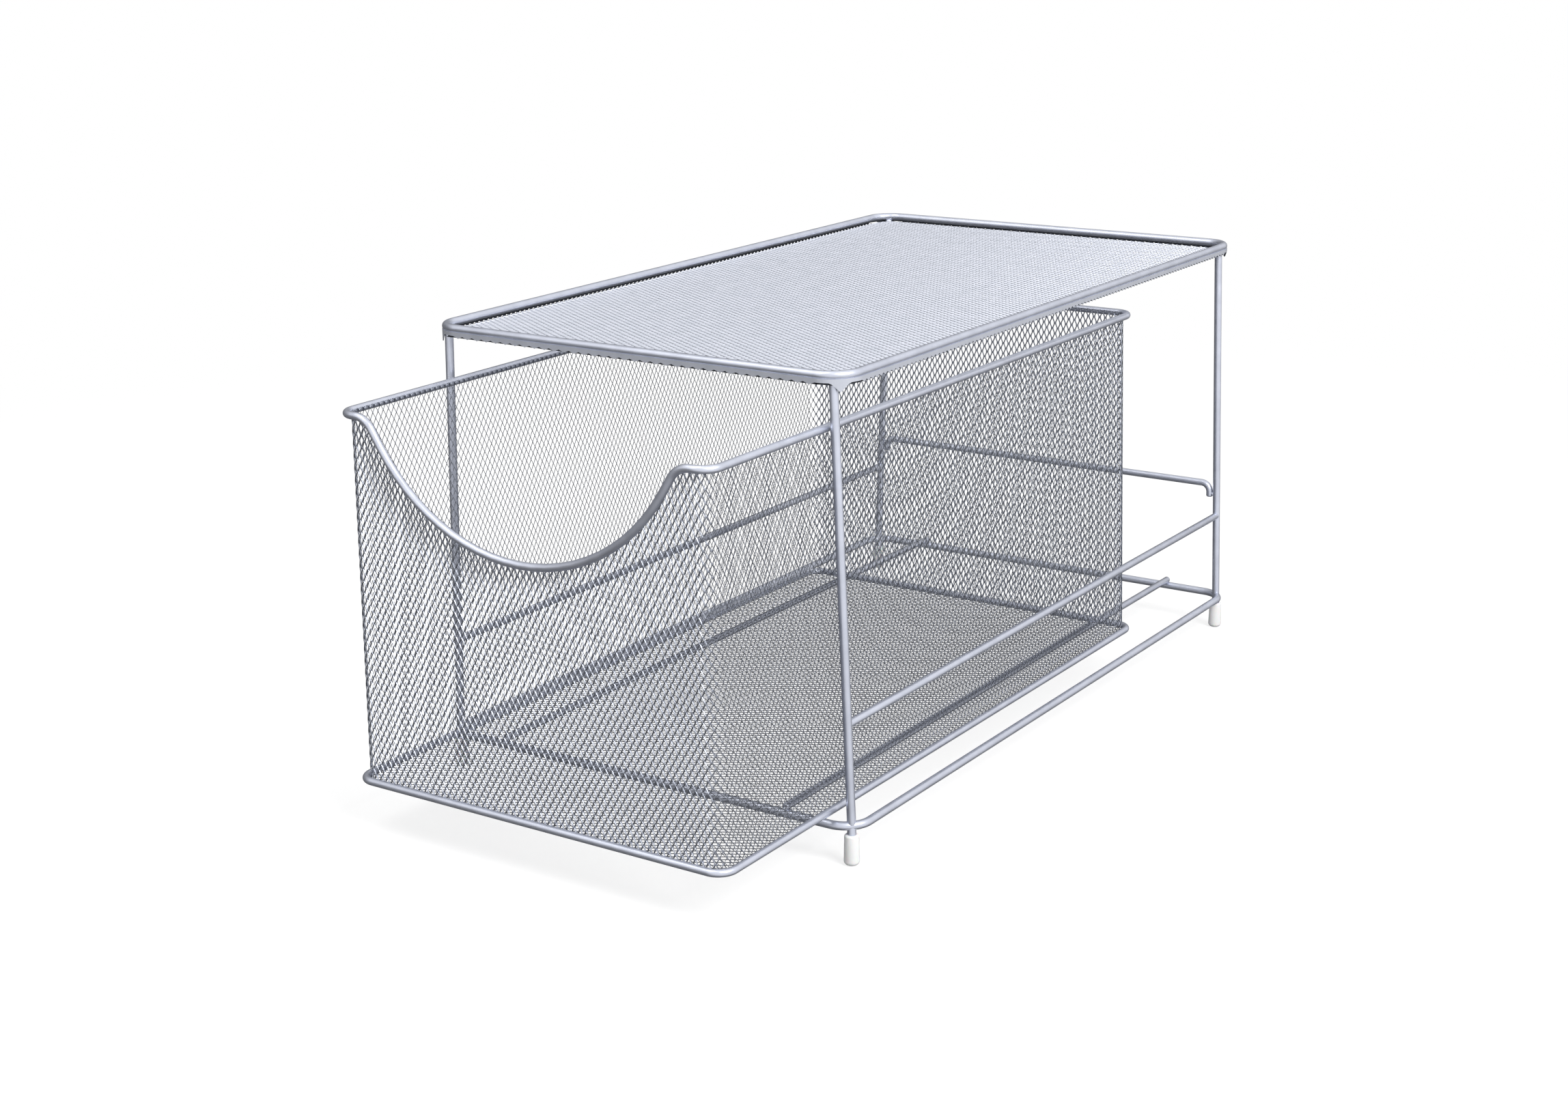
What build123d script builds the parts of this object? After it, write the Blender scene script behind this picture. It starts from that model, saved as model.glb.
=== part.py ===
"""Under sink organizer: a welded wire frame with a mesh shelf and a mesh drawer.

All lengths are in millimetres. X runs to the right, Y runs back and Z runs up.
The origin is on the floor, under the middle of the whole, with the drawer partly
pulled out to the front, which is its place at rest.
"""

from build123d import *
import math
import os

os.makedirs("parts", exist_ok=True)

# Frame: outer sizes, wires and bends
frame_length = 450
top_width = 254
base_width = 264.5
overall_height = 247.3
base_height = 20.5
frame_wire = 4.5
frame_bend = 14

# Posts: where they stand on the corner bends, as turns from the side of the frame
post_foot_turn = 45
post_top_turn = 57

# Rails between the posts, measured from the middle of the base ring
side_rail_rise = 52.5
side_rail_wire = 4.2
back_bar_rise = 72.8
back_bar_wire = 4.2
back_bar_bend = 5.5
back_bar_leg = 8.5

# Runners that carry the drawer
runner_spacing = 180
runner_wire = 4
runner_sink = 0.6

# Feet: a wire peg under each corner, with a plastic cap pushed on
cap_diameter = 8
cap_neck_diameter = 7.4
cap_height = 16
cap_sole = 3
cap_rounding = 2.2
cap_fit = 0.1
peg_end_room = 0.3

# Expanded metal sheet: thickness, and the net of diamonds that stands for it
sheet_thickness = 0.7
shelf_lip = 2
shelf_tab_depth = 5.5
shelf_tab_width = 12
net_across = 48
net_along = 79
net_strand = 3.6
net_edge = 2.4
least_gap_share = 0.1

# Drawer: outer sizes at the bottom rim, and how far the walls draw in at the top
drawer_length = 431
drawer_width = 231
drawer_wall_height = 191
drawer_side_lean = 3.4
drawer_rear_lean = 3.4
rim_wire = 4
rim_bend = 9
rim_cover = 1
drawer_pull = 92
drawer_shift = 3.8
drawer_lift = 0.3

# Scoop in the drawer's front edge
scoop_width = 186
scoop_depth = 60
scoop_radius = 100
scoop_shoulder = 12

# Width of the diamonds in the drawer's upright corners, as a share of the bend
corner_gap_share = 0.6

# Fits between welded wires, and an overrun for cuts
weld_gap = 0.1
overrun = 10

# Heights of the rings and of the drawer
top_height = overall_height - frame_wire / 2
shelf_height = top_height - frame_wire / 2
runner_height = base_height + frame_wire / 2 + runner_wire / 2 - runner_sink
drawer_base = runner_height + runner_wire / 2 + drawer_lift + rim_wire / 2
drawer_top = drawer_base + drawer_wall_height

# Ends of the whole, with the drawer at rest
whole_length = frame_length + drawer_pull
frame_rear = whole_length / 2
frame_front = frame_rear - frame_length
frame_middle = frame_rear - frame_length / 2
drawer_front = -whole_length / 2
drawer_rear = drawer_front + drawer_length


def corner_name(side, end):
    """Name of a corner, such as front_left, for side -1 or 1 and end -1 or 1."""
    return ("front_" if end < 0 else "rear_") + ("left" if side < 0 else "right")


def bend_middle(width, side, end):
    """Middle of a corner bend of one of the frame's rings, in plan."""
    x = side * (width / 2 - frame_wire / 2 - frame_bend)
    y = frame_middle + end * (frame_length / 2 - frame_wire / 2 - frame_bend)
    return x, y


def corner_plane(x, y, height, side, end):
    """Upright plane that looks out of a corner at half a right angle, its second axis up."""
    outward = Vector(side, end, 0)
    return Plane((x, y, height), x_dir=Vector(0, 0, 1).cross(outward), z_dir=outward)


def post_point(side, end, height):
    """Middle of a post at a height, on the straight line from its foot to its top."""
    foot_x, foot_y = bend_middle(base_width, side, end)
    foot_x += side * frame_bend * math.cos(math.radians(post_foot_turn))
    foot_y += end * frame_bend * math.sin(math.radians(post_foot_turn))
    top_x, top_y = bend_middle(top_width, side, end)
    top_reach = frame_bend - sheet_thickness - weld_gap
    top_x += side * top_reach * math.cos(math.radians(post_top_turn))
    top_y += end * top_reach * math.sin(math.radians(post_top_turn))
    rise_share = (height - base_height) / (shelf_height - base_height)
    x = foot_x + (top_x - foot_x) * rise_share
    y = foot_y + (top_y - foot_y) * rise_share
    return x, y, height


def corner_points(middle_x, half_width, front, rear, height):
    """Corners of a rectangle in plan, anticlockwise from the front right one."""
    right_front = (middle_x + half_width, front, height)
    right_rear = (middle_x + half_width, rear, height)
    left_rear = (middle_x - half_width, rear, height)
    left_front = (middle_x - half_width, front, height)
    return [right_front, right_rear, left_rear, left_front]


def frame_ring(width, height, wire):
    """Closed ring of the frame, bent from one wire."""
    half = width / 2 - frame_wire / 2
    reach = frame_length / 2 - frame_wire / 2
    corners = corner_points(0, half, frame_middle - reach, frame_middle + reach, height)
    with BuildPart() as ring:
        with BuildLine() as path:
            FilletPolyline(*corners, radius=frame_bend, close=True)
        with BuildSketch(Plane(path.line @ 0, z_dir=path.line % 0)):
            Circle(wire / 2)
        sweep()
    return ring.part


def straight_wire(start, end, diameter):
    """Straight round wire between two points."""
    with BuildPart() as wire:
        with BuildLine() as path:
            Line(start, end)
        with BuildSketch(Plane(path.line @ 0, z_dir=path.line % 0)):
            Circle(diameter / 2)
        sweep()
    return wire.part


def gaps_of_net(outline, across, along):
    """Diamond gaps of an expanded sheet that fit inside a flat outline."""
    box = outline.bounding_box()
    columns = 2 * math.ceil(box.size.X / across / 2) + 1
    rows = 2 * math.ceil(box.size.Y / along / 2) + 1
    half_across = across / 2
    half_along = along / 2
    side_distance = half_across * half_along / math.hypot(half_across, half_along)
    open_share = 1 - net_strand / 2 / side_distance
    wide = half_across * open_share
    tall = half_along * open_share
    with BuildSketch() as gaps:
        for row_shift in (0, 0.5):
            with Locations((box.center().X + row_shift * across, box.center().Y + row_shift * along)):
                with GridLocations(across, along, columns, rows):
                    Polygon((wide, 0), (0, tall), (-wide, 0), (0, -tall), align=None)
        offset(outline, amount=-net_edge, kind=Kind.INTERSECTION, mode=Mode.INTERSECT)
    least = least_gap_share * 2 * wide * tall
    return [gap for gap in gaps.sketch.faces() if gap.area > least]


# Rings of the frame, and fuller copies of the base ring that shape the ends on it
with BuildPart() as top_rim:
    add(frame_ring(top_width, top_height, frame_wire))

with BuildPart() as base_ring:
    add(frame_ring(base_width, base_height, frame_wire))

with BuildPart() as ring_saddle:
    add(frame_ring(base_width, base_height, frame_wire + 2 * weld_gap))

# Shelf: a sheet under the top rim, its edge folded down as a lip with corner tabs
outer_bend = frame_bend + frame_wire / 2
lip_width = top_width - 2 * sheet_thickness
lip_length = frame_length - 2 * sheet_thickness
lip_bend = outer_bend - sheet_thickness

with BuildSketch() as shelf_outline:
    with Locations((0, frame_middle)):
        RectangleRounded(top_width, frame_length, outer_bend)

with BuildSketch() as shelf_hem:
    add(shelf_outline.sketch)
    with Locations((0, frame_middle)):
        RectangleRounded(lip_width, lip_length, lip_bend, mode=Mode.SUBTRACT)

with BuildPart() as shelf_tab_wedges:
    for side in (-1, 1):
        for end in (-1, 1):
            bend_x, bend_y = bend_middle(top_width, side, end)
            with BuildSketch(corner_plane(bend_x, bend_y, shelf_height, side, end)):
                half_tab = shelf_tab_width / 2
                Polygon((-half_tab, 0), (half_tab, 0), (0, -shelf_tab_depth), align=None)
            extrude(amount=outer_bend + overrun)

with BuildPart() as shelf_tabs:
    with BuildSketch(Plane.XY.offset(shelf_height)):
        add(shelf_hem.sketch)
    extrude(amount=-shelf_tab_depth)
    add(shelf_tab_wedges.part, mode=Mode.INTERSECT)

with BuildPart() as shelf_mesh:
    with BuildSketch(Plane.XY.offset(shelf_height)):
        add(shelf_outline.sketch)
        add(gaps_of_net(shelf_outline.sketch, net_along, net_across), mode=Mode.SUBTRACT)
    extrude(amount=-sheet_thickness)
    with BuildSketch(Plane.XY.offset(shelf_height)):
        add(shelf_hem.sketch)
    extrude(amount=-shelf_lip)
    add(shelf_tabs.part)

# Posts: from the base ring, where their ends are notched, up to the shelf sheet
posts = {}
post_saddles = {}
for side in (-1, 1):
    for end in (-1, 1):
        foot = post_point(side, end, base_height)
        head = post_point(side, end, shelf_height)
        with BuildPart() as post:
            add(straight_wire(foot, head, frame_wire))
            split(bisect_by=Plane.XY.offset(shelf_height - sheet_thickness), keep=Keep.BOTTOM)
            add(ring_saddle.part, mode=Mode.SUBTRACT)
        posts[corner_name(side, end)] = post
        post_saddles[corner_name(side, end)] = straight_wire(foot, head, frame_wire + 2 * weld_gap)

# Side rails: butted between the front and the rear post of each side
rail_height = base_height + side_rail_rise
side_rails = {}
for side in (-1, 1):
    with BuildPart() as rail:
        add(straight_wire(post_point(side, -1, rail_height), post_point(side, 1, rail_height), side_rail_wire))
        add(post_saddles[corner_name(side, -1)], mode=Mode.SUBTRACT)
        add(post_saddles[corner_name(side, 1)], mode=Mode.SUBTRACT)
    side_rails["left" if side < 0 else "right"] = rail

# Back bar: between the rear posts, its ends bent down along their inner faces
bar_height = base_height + back_bar_rise
bar_post = post_point(1, 1, bar_height)
bar_half = bar_post[0] - frame_wire / 2 - weld_gap - back_bar_wire / 2
bar_low = bar_height - back_bar_leg
with BuildPart() as back_bar:
    with BuildLine() as bar_path:
        FilletPolyline(
            (-bar_half, bar_post[1], bar_low),
            (-bar_half, bar_post[1], bar_height),
            (bar_half, bar_post[1], bar_height),
            (bar_half, bar_post[1], bar_low),
            radius=back_bar_bend,
        )
    with BuildSketch(Plane(bar_path.line @ 0, z_dir=bar_path.line % 0)):
        Circle(back_bar_wire / 2)
    sweep()

# Runners: two wires from front to rear, welded down onto the base ring
runners = {}
for side in (-1, 1):
    runner_x = side * runner_spacing / 2
    runner_start = (runner_x, frame_front, runner_height)
    runner_end = (runner_x, frame_rear, runner_height)
    with BuildPart() as runner:
        add(straight_wire(runner_start, runner_end, runner_wire))
        add(ring_saddle.part, mode=Mode.SUBTRACT)
    runners["left" if side < 0 else "right"] = runner

# Feet: pegs under the corners of the base ring, and the caps pushed onto them
peg_end = cap_sole + peg_end_room
foot_pegs = {}
foot_caps = {}
for side in (-1, 1):
    for end in (-1, 1):
        foot_x, foot_y, foot_z = post_point(side, end, base_height)
        with BuildPart() as peg:
            add(straight_wire((foot_x, foot_y, base_height), (foot_x, foot_y, peg_end), frame_wire))
            add(ring_saddle.part, mode=Mode.SUBTRACT)
        foot_pegs[corner_name(side, end)] = peg

        with BuildPart() as cap:
            with BuildSketch(Plane.XZ.offset(-foot_y)):
                with BuildLine():
                    Line((foot_x, 0), (foot_x + cap_diameter / 2 - cap_rounding, 0))
                    RadiusArc(
                        (foot_x + cap_diameter / 2 - cap_rounding, 0),
                        (foot_x + cap_diameter / 2, cap_rounding),
                        -cap_rounding,
                    )
                    Line((foot_x + cap_diameter / 2, cap_rounding), (foot_x + cap_neck_diameter / 2, cap_height))
                    Line((foot_x + cap_neck_diameter / 2, cap_height), (foot_x, cap_height))
                    Line((foot_x, cap_height), (foot_x, 0))
                make_face()
            revolve(axis=Axis((foot_x, foot_y, 0), (0, 0, 1)))
            with Locations(Plane((foot_x, foot_y, cap_height))):
                Hole(radius=frame_wire / 2 + cap_fit, depth=cap_height - cap_sole)
        foot_caps[corner_name(side, end)] = cap

# Drawer rims, given by the middle line of their wires
base_half = drawer_width / 2 - rim_wire / 2
rim_half = base_half - drawer_side_lean
rim_front = drawer_front + rim_wire / 2
base_rear = drawer_rear - rim_wire / 2
rim_rear = base_rear - drawer_rear_lean

with BuildPart() as drawer_bottom_rim:
    with BuildLine() as bottom_rim_path:
        FilletPolyline(
            *corner_points(drawer_shift, base_half, rim_front, base_rear, drawer_base),
            radius=rim_bend,
            close=True,
        )
    with BuildSketch(Plane(bottom_rim_path.line @ 0, z_dir=bottom_rim_path.line % 0)):
        Circle(rim_wire / 2)
    sweep()

# Scoop: two slopes tangent to a wide arc, whose lowest point is at the scoop's depth
scoop_half = scoop_width / 2
scoop_reach = math.hypot(scoop_half, scoop_radius - scoop_depth)
scoop_lean = math.atan2(scoop_half, scoop_radius - scoop_depth) - math.acos(scoop_radius / scoop_reach)
scoop_apex = scoop_half * math.tan(scoop_lean)

with BuildPart() as drawer_top_rim:
    with BuildLine() as top_rim_path:
        FilletPolyline(
            (drawer_shift - rim_half, rim_rear, drawer_top),
            (drawer_shift - rim_half, rim_front, drawer_top),
            (drawer_shift - scoop_half, rim_front, drawer_top),
            (drawer_shift, rim_front, drawer_top - scoop_apex),
            (drawer_shift + scoop_half, rim_front, drawer_top),
            (drawer_shift + rim_half, rim_front, drawer_top),
            (drawer_shift + rim_half, rim_rear, drawer_top),
            radius=(rim_bend, rim_bend, scoop_shoulder, scoop_radius, scoop_shoulder, rim_bend, rim_bend),
            close=True,
        )
    with BuildSketch(Plane(top_rim_path.line @ 0, z_dir=top_rim_path.line % 0)):
        Circle(rim_wire / 2)
    sweep()

# Drawer sheets: a floor, and walls that lean in from the bottom rim to the top rim
wall_top = drawer_top + rim_cover
sheet_inset = rim_wire / 2 + weld_gap
sheet_bend = rim_bend - sheet_inset
sheet_front = rim_front + sheet_inset


def wall_place(height):
    """Half width and rear face of the drawer's walls at a height."""
    lean_share = (height - drawer_base) / drawer_wall_height
    half = base_half - drawer_side_lean * lean_share - sheet_inset
    rear = base_rear - drawer_rear_lean * lean_share - sheet_inset
    return half, rear


def end_section(height, end):
    """Level cut across an end wall and its rounded corners: end -1 at the front, 1 at the rear."""
    half, rear = wall_place(height)
    depth = rear - sheet_front
    with BuildSketch() as section:
        with Locations((drawer_shift, (sheet_front + rear) / 2)):
            RectangleRounded(2 * half, depth, sheet_bend)
            RectangleRounded(
                2 * half - 2 * sheet_thickness,
                depth - 2 * sheet_thickness,
                sheet_bend - sheet_thickness,
                mode=Mode.SUBTRACT,
            )
        with Locations((drawer_shift, sheet_front if end < 0 else rear)):
            Rectangle(2 * half, 2 * sheet_bend, mode=Mode.INTERSECT)
    return section.sketch


def end_sheet(end):
    """One end wall of the drawer without its gaps."""
    with BuildPart() as sheet:
        for height in (drawer_base, wall_top):
            with BuildSketch(Plane.XY.offset(height)):
                add(end_section(height, end))
        loft(ruled=True)
    return sheet.part


def corner_gaps(end):
    """Cutters for the diamonds in the two upright corners of an end wall."""
    half, rear = wall_place(drawer_base)
    bend_y = sheet_front + sheet_bend if end < 0 else rear - sheet_bend
    wide = corner_gap_share * sheet_bend * math.pi / 4
    tall = (net_along - net_strand) / 2
    rows = math.floor(drawer_wall_height / net_along)
    with BuildPart() as cutters:
        for side in (-1, 1):
            bend_x = drawer_shift + side * (half - sheet_bend)
            with BuildSketch(corner_plane(bend_x, bend_y, drawer_base, side, end)):
                for row in range(rows):
                    with Locations((0, (row + 0.5) * net_along)):
                        Polygon((wide, 0), (0, tall), (-wide, 0), (0, -tall), align=None)
            extrude(amount=sheet_bend + overrun)
    return cutters.part


base_sheet_half, base_sheet_rear = wall_place(drawer_base)
top_sheet_half, top_sheet_rear = wall_place(wall_top)
base_flat = base_sheet_half - sheet_bend
top_flat = top_sheet_half - sheet_bend

with BuildSketch() as floor_outline:
    with Locations((drawer_shift, (sheet_front + base_sheet_rear) / 2)):
        RectangleRounded(2 * base_sheet_half, base_sheet_rear - sheet_front, sheet_bend)

with BuildPart() as drawer_floor_mesh:
    with BuildSketch(Plane.XY.offset(drawer_base)):
        add(floor_outline.sketch)
        add(gaps_of_net(floor_outline.sketch, net_along, net_across), mode=Mode.SUBTRACT)
    extrude(amount=-sheet_thickness)

# Side walls: flat sheets that lean in, with an upright front edge and a leaning rear edge
side_foot = Vector(drawer_shift + base_sheet_half, 0, drawer_base)
side_slope = Vector(drawer_shift + top_sheet_half, 0, wall_top) - side_foot
side_plane = Plane(side_foot, x_dir=(0, 1, 0), z_dir=Vector(0, 1, 0).cross(side_slope))

with BuildSketch() as side_outline:
    with BuildLine():
        Polyline(
            (sheet_front + sheet_bend, 0),
            (base_sheet_rear - sheet_bend, 0),
            (top_sheet_rear - sheet_bend, side_slope.length),
            (sheet_front + sheet_bend, side_slope.length),
            close=True,
        )
    make_face()

with BuildPart() as drawer_mesh_right:
    with BuildSketch(side_plane):
        add(side_outline.sketch)
        add(gaps_of_net(side_outline.sketch, net_across, net_along), mode=Mode.SUBTRACT)
    extrude(amount=-sheet_thickness)
    split(bisect_by=Plane.XY.offset(drawer_base), keep=Keep.TOP)

with BuildPart() as drawer_mesh_left:
    mirror(drawer_mesh_right.part, about=Plane.YZ.offset(drawer_shift))

# Rear wall
with BuildSketch() as rear_outline:
    with BuildLine():
        Polyline(
            (drawer_shift - base_flat, drawer_base),
            (drawer_shift + base_flat, drawer_base),
            (drawer_shift + top_flat, wall_top),
            (drawer_shift - top_flat, wall_top),
            close=True,
        )
    make_face()

with BuildPart() as drawer_mesh_rear:
    add(end_sheet(1))
    with BuildSketch(Plane.XZ.offset(-base_sheet_rear)):
        add(gaps_of_net(rear_outline.sketch, net_across, net_along))
    extrude(amount=overrun, both=True, mode=Mode.SUBTRACT)
    add(corner_gaps(1), mode=Mode.SUBTRACT)

# Front wall, cut down along the scoop
with BuildSketch() as scoop_cut:
    with BuildLine():
        FilletPolyline(
            (drawer_shift - top_sheet_half, wall_top),
            (drawer_shift - scoop_half, wall_top),
            (drawer_shift, wall_top - scoop_apex),
            (drawer_shift + scoop_half, wall_top),
            (drawer_shift + top_sheet_half, wall_top),
            (drawer_shift + top_sheet_half, wall_top + overrun),
            (drawer_shift - top_sheet_half, wall_top + overrun),
            radius=(0, scoop_shoulder, scoop_radius, scoop_shoulder, 0, 0, 0),
            close=True,
        )
    make_face()

with BuildSketch() as front_outline:
    add(rear_outline.sketch)
    add(scoop_cut.sketch, mode=Mode.SUBTRACT)

with BuildPart() as drawer_mesh_front:
    add(end_sheet(-1))
    with BuildSketch(Plane.XZ.offset(-sheet_front)):
        add(scoop_cut.sketch)
        add(gaps_of_net(front_outline.sketch, net_across, net_along))
    extrude(amount=overrun, both=True, mode=Mode.SUBTRACT)
    add(corner_gaps(-1), mode=Mode.SUBTRACT)

# Names and files
pieces = {
    "top_rim": top_rim,
    "base_ring": base_ring,
    "shelf_mesh": shelf_mesh,
    "back_bar": back_bar,
    "drawer_top_rim": drawer_top_rim,
    "drawer_bottom_rim": drawer_bottom_rim,
    "drawer_floor_mesh": drawer_floor_mesh,
    "drawer_mesh_front": drawer_mesh_front,
    "drawer_mesh_rear": drawer_mesh_rear,
    "drawer_mesh_left": drawer_mesh_left,
    "drawer_mesh_right": drawer_mesh_right,
}
pieces.update({"post_" + place: post for place, post in posts.items()})
pieces.update({"side_rail_" + place: rail for place, rail in side_rails.items()})
pieces.update({"runner_" + place: runner for place, runner in runners.items()})
pieces.update({"foot_peg_" + place: peg for place, peg in foot_pegs.items()})
pieces.update({"foot_cap_" + place: cap for place, cap in foot_caps.items()})

for name, piece in pieces.items():
    piece.part.label = name
    export_step(piece.part, f"parts/{name}.step")
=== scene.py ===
"""Looks of an under sink organizer: a silver wire frame, a mesh shelf and a mesh drawer.

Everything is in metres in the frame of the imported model: X to the right, Y to the
rear and Z up, with the origin on the floor under the middle of the whole.
"""

from __future__ import annotations

import logging
import math
from dataclasses import dataclass
from enum import Enum
from functools import partial
from typing import Callable

import bmesh
import bpy
import numpy as np
from bpy.types import ID, Material, Mesh, Node, NodeSocket, NodeTree, Object
from mathutils import Matrix, Vector

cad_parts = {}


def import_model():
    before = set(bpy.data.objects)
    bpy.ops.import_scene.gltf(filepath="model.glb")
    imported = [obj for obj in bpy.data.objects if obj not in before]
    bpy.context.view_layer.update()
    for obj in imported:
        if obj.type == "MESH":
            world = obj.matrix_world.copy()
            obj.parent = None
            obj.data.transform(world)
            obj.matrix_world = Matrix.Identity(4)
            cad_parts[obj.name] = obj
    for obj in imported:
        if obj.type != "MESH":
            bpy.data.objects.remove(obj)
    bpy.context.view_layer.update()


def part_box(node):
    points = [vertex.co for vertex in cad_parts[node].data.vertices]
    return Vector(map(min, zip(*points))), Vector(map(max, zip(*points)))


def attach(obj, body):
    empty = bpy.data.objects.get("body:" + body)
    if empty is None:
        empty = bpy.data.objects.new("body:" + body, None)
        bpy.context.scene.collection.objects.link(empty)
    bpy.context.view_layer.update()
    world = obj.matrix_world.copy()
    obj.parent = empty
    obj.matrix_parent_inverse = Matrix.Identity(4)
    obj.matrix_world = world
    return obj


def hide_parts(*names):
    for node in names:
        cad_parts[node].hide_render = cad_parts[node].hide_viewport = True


MM = 0.001
Pair = tuple[float, float]
Triple = tuple[float, float, float]
# Points of a sheet in space, and which of them are cut back to its edge.
Cut = tuple[np.ndarray, np.ndarray]
LOG = logging.getLogger("organizer")
UP = Vector((0, 0, 1))
REAR = Vector((0, 1, 0))
# A point nearer to an edge than TOUCH lies on it, points nearer to each other than MERGED are one,
# and an edge shorter than SPECK goes.
TOUCH = 1e-7
MERGED = 0.01 * MM
SPECK = 0.001 * MM
# Largest turn between two points of a bent line, in degrees, and the fewest steps of a bend.
BEND_STEP = 5
FEWEST_STEPS = 3


class Body(Enum):
    """The two bodies that the drawer's slide joins."""

    FRAME = "frame"
    DRAWER = "drawer"


class Slot(Enum):
    """Material slots of the record."""

    WIRE = "wire_metal"
    MESH = "mesh_metal"
    CAP = "cap_plastic"


class Wall(Enum):
    """Walls of the drawer, in the order in which the sheet runs round it."""

    FRONT = "front"
    RIGHT = "right"
    REAR = "rear"
    LEFT = "left"


class Lean(Enum):
    """Which way the strands of a sheet are turned, seen along the sheet's run."""

    OUTWARD = 1
    INWARD = -1


def linear_colour(code: str) -> tuple[float, float, float, float]:
    """Turn an sRGB hex colour into linear values.

    Args:
        code: The colour as six hex digits after a hash sign.

    Returns:
        Red, green, blue and an alpha of 1.
    """
    values = [int(code[place : place + 2], 16) / 255 for place in (1, 3, 5)]
    red, green, blue = (v / 12.92 if v <= 0.04045 else ((v + 0.055) / 1.055) ** 2.4 for v in values)
    return red, green, blue, 1.0


def add_node(tree: NodeTree, kind: str, settings: dict | None = None, **inputs) -> Node:
    """Add a node, set it up and link or fill its inputs.

    Args:
        tree: The node tree that gets the node.
        kind: The node's type name.
        settings: Attributes of the node itself.
        inputs: Values or output sockets, by input name with _ for a space, or iN for input N.

    Returns:
        The new node.
    """
    node = tree.nodes.new(kind)
    for name, value in (settings or {}).items():
        setattr(node, name, value)
    for name, value in inputs.items():
        by_number = name[0] == "i" and name[1:].isdigit()
        socket = node.inputs[int(name[1:])] if by_number else node.inputs[name.replace("_", " ")]
        if isinstance(value, NodeSocket):
            tree.links.new(value, socket)
        else:
            socket.default_value = value
    return node


def add_math(tree: NodeTree, operation: str, *values) -> NodeSocket:
    """Add a calculation with values or sockets.

    Args:
        tree: The node tree that gets the node.
        operation: What the node works out.
        values: Its inputs, in their order.

    Returns:
        The socket that carries the result.
    """
    inputs = {f"i{number}": value for number, value in enumerate(values)}
    return add_node(tree, "ShaderNodeMath", {"operation": operation}, **inputs).outputs[0]


def add_mix(tree: NodeTree, share: NodeSocket, first: Node, second: Node) -> Node:
    """Add a mix of two shaders.

    Args:
        tree: The node tree that gets the node.
        share: How much of the second one shows.
        first: The first shader.
        second: The second shader.

    Returns:
        The node of the mix.
    """
    return add_node(tree, "ShaderNodeMixShader", i0=share, i1=first.outputs[0], i2=second.outputs[0])


def add_object(name: str, data: ID) -> Object:
    """Add an object to the scene.

    Args:
        name: The object's name.
        data: Its mesh, lamp or camera.

    Returns:
        The new object.
    """
    made = bpy.data.objects.new(name, data)
    bpy.context.scene.collection.objects.link(made)
    return made


@dataclass(frozen=True)
class Finish:
    """A surface with soft clouding in its tone and gloss, and a fine grain that breaks up the light."""

    name: str
    colour: str
    shade: str
    metallic: float
    roughness: float
    cloud: float = 9 * MM
    cloud_detail: float = 3.0
    tone_stops: Pair = (0.3, 0.65)
    gloss_spread: Pair = (-0.04, 0.06)
    grain: float = 0.8 * MM
    grain_detail: float = 2.0
    grain_strength: float = 0.4
    grain_depth: float = 0.03 * MM
    translucence: float = 0.0
    scatter: float = 1.5 * MM

    def material(self) -> Material:
        """Build the material.

        Returns:
            The finish, laid on the piece's own coordinates.
        """
        made = bpy.data.materials.new(self.name)
        made.use_nodes = True
        tree = made.node_tree
        shader = tree.nodes["Principled BSDF"]
        place = add_node(tree, "ShaderNodeTexCoord").outputs["Object"]
        cloud, grain = (
            add_node(tree, "ShaderNodeTexNoise", Vector=place, Scale=1 / size, Detail=detail).outputs["Fac"]
            for size, detail in ((self.cloud, self.cloud_detail), (self.grain, self.grain_detail))
        )
        tone = add_node(tree, "ShaderNodeValToRGB", Fac=cloud)
        for stop, position, code in zip(tone.color_ramp.elements, self.tone_stops, (self.shade, self.colour)):
            stop.position = position
            stop.color = linear_colour(code)
        low, high = (self.roughness + spread for spread in self.gloss_spread)
        gloss = add_node(tree, "ShaderNodeMapRange", Value=cloud, To_Min=low, To_Max=high)
        strength, depth = self.grain_strength, self.grain_depth
        bump = add_node(tree, "ShaderNodeBump", Height=grain, Strength=strength, Distance=depth)
        tree.links.new(tone.outputs["Color"], shader.inputs["Base Color"])
        tree.links.new(gloss.outputs["Result"], shader.inputs["Roughness"])
        tree.links.new(bump.outputs["Normal"], shader.inputs["Normal"])
        shader.inputs["Metallic"].default_value = self.metallic
        shader.inputs["Subsurface Weight"].default_value = self.translucence
        shader.inputs["Subsurface Scale"].default_value = self.scatter
        return made


# Satin silver powder coat on steel, baked: it mirrors the room softly and has a fine grain.
WIRE_COAT = Finish("Silver powder coat on drawn wire", "#CED2DF", "#C3C7D4", 0.78, 0.32)
# The same coat on the drawer's turned strands, a copy painted darker as painted shade for strands seen
# edge-on and turned from the light, and glossier, so that each one glints.
SHADED_WALL_COAT = Finish("Silver powder coat on expanded steel", "#9296A0", "#858993", 0.8, 0.26)
# The same coat on the shelf's flattened sheet, a copy painted paler as painted light for a sheet lit from
# above, and less like a mirror, so that it reads as one plane.
LIT_SHELF_COAT = Finish("Silver powder coat on pressed flat steel", "#C8CBD5", "#C2C6D0", 0.5, 0.32)
# Painted shade: a dark, dull coat that stands in for the shade under the rim, a line that sets the rim off
# from the shelf.
PAINTED_SHADE_COAT = Finish("Thinly coated steel in the crevice", "#4A4E56", "#3C4048", 0.3, 0.5)
# Off-white polyethylene, injection moulded: matte, a little translucent at thin rims.
CAP_PLASTIC = Finish(
    "Moulded polyethylene cap", "#FAFAFA", "#F3F3F2", 0.0, 0.48,
    cloud=6 * MM, cloud_detail=2.0, tone_stops=(0.0, 1.0), gloss_spread=(0.0, 0.0),
    grain=0.5 * MM, grain_strength=0.2, grain_depth=0.05 * MM, translucence=0.15,
)


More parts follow.
